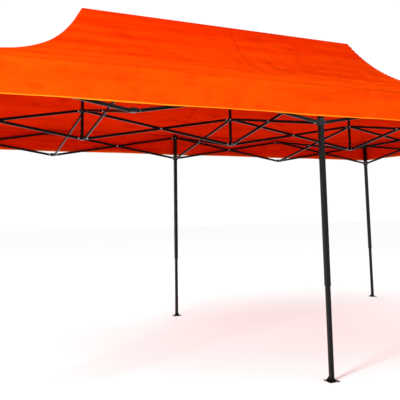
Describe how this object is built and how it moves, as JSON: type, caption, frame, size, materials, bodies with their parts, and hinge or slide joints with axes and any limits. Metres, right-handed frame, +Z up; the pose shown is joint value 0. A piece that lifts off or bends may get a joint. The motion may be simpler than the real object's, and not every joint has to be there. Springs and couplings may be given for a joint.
{
  "type": "folding canopy shelter",
  "caption": "Folding canopy shelter with a hip roof sheet on scissor trusses, centre poles and telescoping legs with foot plates.",
  "frame": {"origin": "on the ground under the middle pole, midway between the six feet", "axes": "+X along the long side to the right, +Y from the front to the back, +Z up"},
  "size_m": [6.005, 3.045, 3.063],
  "materials": {
    "canopy_fabric": "woven coated polyester",
    "black_tube": "satin powder coat",
    "black_plastic": "fine moulded"
  },
  "bodies": {
    "upper_hub_left": {"upper_hub_left": "black_plastic"},
    "upper_hub_middle": {"upper_hub_middle": "black_plastic", "canopy": "canopy_fabric"},
    "upper_hub_right": {"upper_hub_right": "black_plastic"},
    "centre_pole_left": {"centre_pole_left": "black_tube", "end_truss_left": "black_tube"},
    "centre_pole_middle": {"centre_pole_middle": "black_tube"},
    "centre_pole_right": {"centre_pole_right": "black_tube", "end_truss_right": "black_tube"},
    "outer_leg_front_left": {"outer_leg_front_left": "black_tube"},
    "outer_leg_front_middle": {"outer_leg_front_middle": "black_tube"},
    "outer_leg_front_right": {"outer_leg_front_right": "black_tube"},
    "outer_leg_back_left": {"outer_leg_back_left": "black_tube"},
    "outer_leg_back_middle": {"outer_leg_back_middle": "black_tube"},
    "outer_leg_back_right": {"outer_leg_back_right": "black_tube"},
    "inner_leg_front_left": {"inner_leg_front_left": "black_tube"},
    "inner_leg_front_middle": {"inner_leg_front_middle": "black_tube"},
    "inner_leg_front_right": {"inner_leg_front_right": "black_tube"},
    "inner_leg_back_left": {"inner_leg_back_left": "black_tube"},
    "inner_leg_back_middle": {"inner_leg_back_middle": "black_tube"},
    "inner_leg_back_right": {"inner_leg_back_right": "black_tube"},
    "slider_front_left": {"slider_front_left": "black_plastic"},
    "slider_front_middle": {"slider_front_middle": "black_plastic"},
    "slider_front_right": {"slider_front_right": "black_plastic"},
    "slider_back_left": {"slider_back_left": "black_plastic"},
    "slider_back_middle": {"slider_back_middle": "black_plastic"},
    "slider_back_right": {"slider_back_right": "black_plastic"},
    "side_upper_hub_front_left": {"side_upper_hub_front_left": "black_tube"},
    "side_upper_hub_front_right": {"side_upper_hub_front_right": "black_tube"},
    "side_upper_hub_back_left": {"side_upper_hub_back_left": "black_tube"},
    "side_upper_hub_back_right": {"side_upper_hub_back_right": "black_tube"},
    "side_lower_hub_front_left": {"side_lower_hub_front_left": "black_tube"},
    "side_lower_hub_front_right": {"side_lower_hub_front_right": "black_tube"},
    "side_lower_hub_back_left": {"side_lower_hub_back_left": "black_tube"},
    "side_lower_hub_back_right": {"side_lower_hub_back_right": "black_tube"},
    "front_bar_1_falling": {"front_bar_1_falling": "black_tube"},
    "front_bar_1_rising": {"front_bar_1_rising": "black_tube"},
    "front_bar_2_falling": {"front_bar_2_falling": "black_tube"},
    "front_bar_2_rising": {"front_bar_2_rising": "black_tube"},
    "front_bar_3_falling": {"front_bar_3_falling": "black_tube"},
    "front_bar_3_rising": {"front_bar_3_rising": "black_tube"},
    "front_bar_4_falling": {"front_bar_4_falling": "black_tube"},
    "front_bar_4_rising": {"front_bar_4_rising": "black_tube"},
    "ridge_bar_2_falling": {"ridge_bar_2_falling": "black_tube"},
    "ridge_bar_2_rising": {"ridge_bar_2_rising": "black_tube"},
    "ridge_bar_3_falling": {"ridge_bar_3_falling": "black_tube"},
    "ridge_bar_3_rising": {"ridge_bar_3_rising": "black_tube"},
    "back_bar_1_falling": {"back_bar_1_falling": "black_tube"},
    "back_bar_1_rising": {"back_bar_1_rising": "black_tube"},
    "back_bar_2_falling": {"back_bar_2_falling": "black_tube"},
    "back_bar_2_rising": {"back_bar_2_rising": "black_tube"},
    "back_bar_3_falling": {"back_bar_3_falling": "black_tube"},
    "back_bar_3_rising": {"back_bar_3_rising": "black_tube"},
    "back_bar_4_falling": {"back_bar_4_falling": "black_tube"},
    "back_bar_4_rising": {"back_bar_4_rising": "black_tube"},
    "cross_bar_1_falling": {"cross_bar_1_falling": "black_tube"},
    "cross_bar_1_rising": {"cross_bar_1_rising": "black_tube"},
    "cross_bar_2_falling": {"cross_bar_2_falling": "black_tube"},
    "cross_bar_2_rising": {"cross_bar_2_rising": "black_tube"}
  },
  "joints": [
    {"name": "fold", "type": "hinge", "parent": "upper_hub_middle", "child": "cross_bar_1_rising", "pos_m": [0, -0.04, 2.116], "axis": [1, 0, 0], "range_deg": [0, 74]},
    {"name": "cross_bar_1_falling_pivot", "type": "hinge", "parent": "cross_bar_1_rising", "child": "cross_bar_1_falling", "pos_m": [0, -0.74, 1.9945], "axis": [1, 0, 0], "range_deg": [-148, 0]},
    {"name": "slider_front_middle_pivot", "type": "hinge", "parent": "cross_bar_1_rising", "child": "slider_front_middle", "pos_m": [0, -1.44, 1.873], "axis": [1, 0, 0], "range_deg": [-74, 0]},
    {"name": "outer_leg_front_middle_pivot", "type": "hinge", "parent": "cross_bar_1_falling", "child": "outer_leg_front_middle", "pos_m": [0, -1.44, 2.116], "axis": [1, 0, 0], "range_deg": [0, 74]},
    {"name": "centre_pole_middle_pivot", "type": "hinge", "parent": "cross_bar_1_falling", "child": "centre_pole_middle", "pos_m": [0, -0.04, 1.873], "axis": [1, 0, 0], "range_deg": [0, 74]},
    {"name": "cross_bar_2_falling_pivot", "type": "hinge", "parent": "upper_hub_middle", "child": "cross_bar_2_falling", "pos_m": [0, 0.04, 2.116], "axis": [-1, 0, 0], "range_deg": [0, 74]},
    {"name": "cross_bar_2_rising_pivot", "type": "hinge", "parent": "cross_bar_2_falling", "child": "cross_bar_2_rising", "pos_m": [0, 0.74, 1.9945], "axis": [-1, 0, 0], "range_deg": [-148, 0]},
    {"name": "slider_back_middle_pivot", "type": "hinge", "parent": "cross_bar_2_falling", "child": "slider_back_middle", "pos_m": [0, 1.44, 1.873], "axis": [-1, 0, 0], "range_deg": [-74, 0]},
    {"name": "outer_leg_back_middle_pivot", "type": "hinge", "parent": "cross_bar_2_rising", "child": "outer_leg_back_middle", "pos_m": [0, 1.44, 2.116], "axis": [-1, 0, 0], "range_deg": [0, 74]},
    {"name": "ridge_bar_3_falling_pivot", "type": "hinge", "parent": "upper_hub_middle", "child": "ridge_bar_3_falling", "pos_m": [0.04, 0, 2.116], "axis": [0, 1, 0], "range_deg": [0, 74]},
    {"name": "ridge_bar_3_rising_pivot", "type": "hinge", "parent": "ridge_bar_3_falling", "child": "ridge_bar_3_rising", "pos_m": [0.74, 0, 1.9945], "axis": [0, 1, 0], "range_deg": [-148, 0]},
    {"name": "centre_pole_right_pivot", "type": "hinge", "parent": "ridge_bar_3_falling", "child": "centre_pole_right", "pos_m": [1.44, 0, 1.873], "axis": [0, 1, 0], "range_deg": [-74, 0], "deforming": ["end_truss_right"]},
    {"name": "upper_hub_right_pivot", "type": "hinge", "parent": "ridge_bar_3_rising", "child": "upper_hub_right", "pos_m": [1.44, 0, 2.116], "axis": [0, 1, 0], "range_deg": [0, 74]},
    {"name": "ridge_bar_2_rising_pivot", "type": "hinge", "parent": "upper_hub_middle", "child": "ridge_bar_2_rising", "pos_m": [-0.04, 0, 2.116], "axis": [0, -1, 0], "range_deg": [0, 74]},
    {"name": "ridge_bar_2_falling_pivot", "type": "hinge", "parent": "ridge_bar_2_rising", "child": "ridge_bar_2_falling", "pos_m": [-0.74, 0, 1.9945], "axis": [0, -1, 0], "range_deg": [-148, 0]},
    {"name": "centre_pole_left_pivot", "type": "hinge", "parent": "ridge_bar_2_rising", "child": "centre_pole_left", "pos_m": [-1.44, 0, 1.873], "axis": [0, -1, 0], "range_deg": [-74, 0], "deforming": ["end_truss_left"]},
    {"name": "upper_hub_left_pivot", "type": "hinge", "parent": "ridge_bar_2_falling", "child": "upper_hub_left", "pos_m": [-1.44, 0, 2.116], "axis": [0, -1, 0], "range_deg": [0, 74]},
    {"name": "front_bar_3_falling_pivot", "type": "hinge", "parent": "outer_leg_front_middle", "child": "front_bar_3_falling", "pos_m": [0.04, -1.48, 2.116], "axis": [0, 1, 0], "range_deg": [0, 74]},
    {"name": "front_bar_3_rising_pivot", "type": "hinge", "parent": "front_bar_3_falling", "child": "front_bar_3_rising", "pos_m": [0.74, -1.48, 1.9945], "axis": [0, 1, 0], "range_deg": [-148, 0]},
    {"name": "side_lower_hub_front_right_pivot", "type": "hinge", "parent": "front_bar_3_falling", "child": "side_lower_hub_front_right", "pos_m": [1.44, -1.48, 1.873], "axis": [0, 1, 0], "range_deg": [-74, 0]},
    {"name": "side_upper_hub_front_right_pivot", "type": "hinge", "parent": "front_bar_3_rising", "child": "side_upper_hub_front_right", "pos_m": [1.44, -1.48, 2.116], "axis": [0, 1, 0], "range_deg": [0, 74]},
    {"name": "front_bar_4_falling_pivot", "type": "hinge", "parent": "side_upper_hub_front_right", "child": "front_bar_4_falling", "pos_m": [1.52, -1.48, 2.116], "axis": [0, 1, 0], "range_deg": [0, 74]},
    {"name": "front_bar_4_rising_pivot", "type": "hinge", "parent": "front_bar_4_falling", "child": "front_bar_4_rising", "pos_m": [2.22, -1.48, 1.9945], "axis": [0, 1, 0], "range_deg": [-148, 0]},
    {"name": "slider_front_right_pivot", "type": "hinge", "parent": "front_bar_4_falling", "child": "slider_front_right", "pos_m": [2.92, -1.48, 1.873], "axis": [0, 1, 0], "range_deg": [-74, 0]},
    {"name": "outer_leg_front_right_pivot", "type": "hinge", "parent": "front_bar_4_rising", "child": "outer_leg_front_right", "pos_m": [2.92, -1.48, 2.116], "axis": [0, 1, 0], "range_deg": [0, 74]},
    {"name": "front_bar_2_rising_pivot", "type": "hinge", "parent": "outer_leg_front_middle", "child": "front_bar_2_rising", "pos_m": [-0.04, -1.48, 2.116], "axis": [0, -1, 0], "range_deg": [0, 74]},
    {"name": "front_bar_2_falling_pivot", "type": "hinge", "parent": "front_bar_2_rising", "child": "front_bar_2_falling", "pos_m": [-0.74, -1.48, 1.9945], "axis": [0, -1, 0], "range_deg": [-148, 0]},
    {"name": "side_lower_hub_front_left_pivot", "type": "hinge", "parent": "front_bar_2_rising", "child": "side_lower_hub_front_left", "pos_m": [-1.44, -1.48, 1.873], "axis": [0, -1, 0], "range_deg": [-74, 0]},
    {"name": "side_upper_hub_front_left_pivot", "type": "hinge", "parent": "front_bar_2_falling", "child": "side_upper_hub_front_left", "pos_m": [-1.44, -1.48, 2.116], "axis": [0, -1, 0], "range_deg": [0, 74]},
    {"name": "front_bar_1_rising_pivot", "type": "hinge", "parent": "side_upper_hub_front_left", "child": "front_bar_1_rising", "pos_m": [-1.52, -1.48, 2.116], "axis": [0, -1, 0], "range_deg": [0, 74]},
    {"name": "front_bar_1_falling_pivot", "type": "hinge", "parent": "front_bar_1_rising", "child": "front_bar_1_falling", "pos_m": [-2.22, -1.48, 1.9945], "axis": [0, -1, 0], "range_deg": [-148, 0]},
    {"name": "slider_front_left_pivot", "type": "hinge", "parent": "front_bar_1_rising", "child": "slider_front_left", "pos_m": [-2.92, -1.48, 1.873], "axis": [0, -1, 0], "range_deg": [-74, 0]},
    {"name": "outer_leg_front_left_pivot", "type": "hinge", "parent": "front_bar_1_falling", "child": "outer_leg_front_left", "pos_m": [-2.92, -1.48, 2.116], "axis": [0, -1, 0], "range_deg": [0, 74]},
    {"name": "back_bar_3_falling_pivot", "type": "hinge", "parent": "outer_leg_back_middle", "child": "back_bar_3_falling", "pos_m": [0.04, 1.48, 2.116], "axis": [0, 1, 0], "range_deg": [0, 74]},
    {"name": "back_bar_3_rising_pivot", "type": "hinge", "parent": "back_bar_3_falling", "child": "back_bar_3_rising", "pos_m": [0.74, 1.48, 1.9945], "axis": [0, 1, 0], "range_deg": [-148, 0]},
    {"name": "side_lower_hub_back_right_pivot", "type": "hinge", "parent": "back_bar_3_falling", "child": "side_lower_hub_back_right", "pos_m": [1.44, 1.48, 1.873], "axis": [0, 1, 0], "range_deg": [-74, 0]},
    {"name": "side_upper_hub_back_right_pivot", "type": "hinge", "parent": "back_bar_3_rising", "child": "side_upper_hub_back_right", "pos_m": [1.44, 1.48, 2.116], "axis": [0, 1, 0], "range_deg": [0, 74]},
    {"name": "back_bar_4_falling_pivot", "type": "hinge", "parent": "side_upper_hub_back_right", "child": "back_bar_4_falling", "pos_m": [1.52, 1.48, 2.116], "axis": [0, 1, 0], "range_deg": [0, 74]},
    {"name": "back_bar_4_rising_pivot", "type": "hinge", "parent": "back_bar_4_falling", "child": "back_bar_4_rising", "pos_m": [2.22, 1.48, 1.9945], "axis": [0, 1, 0], "range_deg": [-148, 0]},
    {"name": "slider_back_right_pivot", "type": "hinge", "parent": "back_bar_4_falling", "child": "slider_back_right", "pos_m": [2.92, 1.48, 1.873], "axis": [0, 1, 0], "range_deg": [-74, 0]},
    {"name": "outer_leg_back_right_pivot", "type": "hinge", "parent": "back_bar_4_rising", "child": "outer_leg_back_right", "pos_m": [2.92, 1.48, 2.116], "axis": [0, 1, 0], "range_deg": [0, 74]},
    {"name": "back_bar_2_rising_pivot", "type": "hinge", "parent": "outer_leg_back_middle", "child": "back_bar_2_rising", "pos_m": [-0.04, 1.48, 2.116], "axis": [0, -1, 0], "range_deg": [0, 74]},
    {"name": "back_bar_2_falling_pivot", "type": "hinge", "parent": "back_bar_2_rising", "child": "back_bar_2_falling", "pos_m": [-0.74, 1.48, 1.9945], "axis": [0, -1, 0], "range_deg": [-148, 0]},
    {"name": "side_lower_hub_back_left_pivot", "type": "hinge", "parent": "back_bar_2_rising", "child": "side_lower_hub_back_left", "pos_m": [-1.44, 1.48, 1.873], "axis": [0, -1, 0], "range_deg": [-74, 0]},
    {"name": "side_upper_hub_back_left_pivot", "type": "hinge", "parent": "back_bar_2_falling", "child": "side_upper_hub_back_left", "pos_m": [-1.44, 1.48, 2.116], "axis": [0, -1, 0], "range_deg": [0, 74]},
    {"name": "back_bar_1_rising_pivot", "type": "hinge", "parent": "side_upper_hub_back_left", "child": "back_bar_1_rising", "pos_m": [-1.52, 1.48, 2.116], "axis": [0, -1, 0], "range_deg": [0, 74]},
    {"name": "back_bar_1_falling_pivot", "type": "hinge", "parent": "back_bar_1_rising", "child": "back_bar_1_falling", "pos_m": [-2.22, 1.48, 1.9945], "axis": [0, -1, 0], "range_deg": [-148, 0]},
    {"name": "slider_back_left_pivot", "type": "hinge", "parent": "back_bar_1_rising", "child": "slider_back_left", "pos_m": [-2.92, 1.48, 1.873], "axis": [0, -1, 0], "range_deg": [-74, 0]},
    {"name": "outer_leg_back_left_pivot", "type": "hinge", "parent": "back_bar_1_falling", "child": "outer_leg_back_left", "pos_m": [-2.92, 1.48, 2.116], "axis": [0, -1, 0], "range_deg": [0, 74]},
    {"name": "telescope_front_left", "type": "slide", "parent": "outer_leg_front_left", "child": "inner_leg_front_left", "axis": [0, 0, 1], "range_m": [0, 0.6]},
    {"name": "telescope_front_middle", "type": "slide", "parent": "outer_leg_front_middle", "child": "inner_leg_front_middle", "axis": [0, 0, 1], "range_m": [0, 0.6]},
    {"name": "telescope_front_right", "type": "slide", "parent": "outer_leg_front_right", "child": "inner_leg_front_right", "axis": [0, 0, 1], "range_m": [0, 0.6]},
    {"name": "telescope_back_left", "type": "slide", "parent": "outer_leg_back_left", "child": "inner_leg_back_left", "axis": [0, 0, 1], "range_m": [0, 0.6]},
    {"name": "telescope_back_middle", "type": "slide", "parent": "outer_leg_back_middle", "child": "inner_leg_back_middle", "axis": [0, 0, 1], "range_m": [0, 0.6]},
    {"name": "telescope_back_right", "type": "slide", "parent": "outer_leg_back_right", "child": "inner_leg_back_right", "axis": [0, 0, 1], "range_m": [0, 0.6]}
  ],
  "couplings": [
    {"joint": "cross_bar_1_falling_pivot", "follows": "fold", "ratio": -2},
    {"joint": "slider_front_middle_pivot", "follows": "fold", "ratio": -1},
    {"joint": "outer_leg_front_middle_pivot", "follows": "fold", "ratio": 1},
    {"joint": "centre_pole_middle_pivot", "follows": "fold", "ratio": 1},
    {"joint": "cross_bar_2_falling_pivot", "follows": "fold", "ratio": 1},
    {"joint": "cross_bar_2_rising_pivot", "follows": "fold", "ratio": -2},
    {"joint": "slider_back_middle_pivot", "follows": "fold", "ratio": -1},
    {"joint": "outer_leg_back_middle_pivot", "follows": "fold", "ratio": 1},
    {"joint": "ridge_bar_3_falling_pivot", "follows": "fold", "ratio": 1},
    {"joint": "ridge_bar_3_rising_pivot", "follows": "fold", "ratio": -2},
    {"joint": "centre_pole_right_pivot", "follows": "fold", "ratio": -1},
    {"joint": "upper_hub_right_pivot", "follows": "fold", "ratio": 1},
    {"joint": "ridge_bar_2_rising_pivot", "follows": "fold", "ratio": 1},
    {"joint": "ridge_bar_2_falling_pivot", "follows": "fold", "ratio": -2},
    {"joint": "centre_pole_left_pivot", "follows": "fold", "ratio": -1},
    {"joint": "upper_hub_left_pivot", "follows": "fold", "ratio": 1},
    {"joint": "front_bar_3_falling_pivot", "follows": "fold", "ratio": 1},
    {"joint": "front_bar_3_rising_pivot", "follows": "fold", "ratio": -2},
    {"joint": "side_lower_hub_front_right_pivot", "follows": "fold", "ratio": -1},
    {"joint": "side_upper_hub_front_right_pivot", "follows": "fold", "ratio": 1},
    {"joint": "front_bar_4_falling_pivot", "follows": "fold", "ratio": 1},
    {"joint": "front_bar_4_rising_pivot", "follows": "fold", "ratio": -2},
    {"joint": "slider_front_right_pivot", "follows": "fold", "ratio": -1},
    {"joint": "outer_leg_front_right_pivot", "follows": "fold", "ratio": 1},
    {"joint": "front_bar_2_rising_pivot", "follows": "fold", "ratio": 1},
    {"joint": "front_bar_2_falling_pivot", "follows": "fold", "ratio": -2},
    {"joint": "side_lower_hub_front_left_pivot", "follows": "fold", "ratio": -1},
    {"joint": "side_upper_hub_front_left_pivot", "follows": "fold", "ratio": 1},
    {"joint": "front_bar_1_rising_pivot", "follows": "fold", "ratio": 1},
    {"joint": "front_bar_1_falling_pivot", "follows": "fold", "ratio": -2},
    {"joint": "slider_front_left_pivot", "follows": "fold", "ratio": -1},
    {"joint": "outer_leg_front_left_pivot", "follows": "fold", "ratio": 1},
    {"joint": "back_bar_3_falling_pivot", "follows": "fold", "ratio": 1},
    {"joint": "back_bar_3_rising_pivot", "follows": "fold", "ratio": -2},
    {"joint": "side_lower_hub_back_right_pivot", "follows": "fold", "ratio": -1},
    {"joint": "side_upper_hub_back_right_pivot", "follows": "fold", "ratio": 1},
    {"joint": "back_bar_4_falling_pivot", "follows": "fold", "ratio": 1},
    {"joint": "back_bar_4_rising_pivot", "follows": "fold", "ratio": -2},
    {"joint": "slider_back_right_pivot", "follows": "fold", "ratio": -1},
    {"joint": "outer_leg_back_right_pivot", "follows": "fold", "ratio": 1},
    {"joint": "back_bar_2_rising_pivot", "follows": "fold", "ratio": 1},
    {"joint": "back_bar_2_falling_pivot", "follows": "fold", "ratio": -2},
    {"joint": "side_lower_hub_back_left_pivot", "follows": "fold", "ratio": -1},
    {"joint": "side_upper_hub_back_left_pivot", "follows": "fold", "ratio": 1},
    {"joint": "back_bar_1_rising_pivot", "follows": "fold", "ratio": 1},
    {"joint": "back_bar_1_falling_pivot", "follows": "fold", "ratio": -2},
    {"joint": "slider_back_left_pivot", "follows": "fold", "ratio": -1},
    {"joint": "outer_leg_back_left_pivot", "follows": "fold", "ratio": 1}
  ]
}
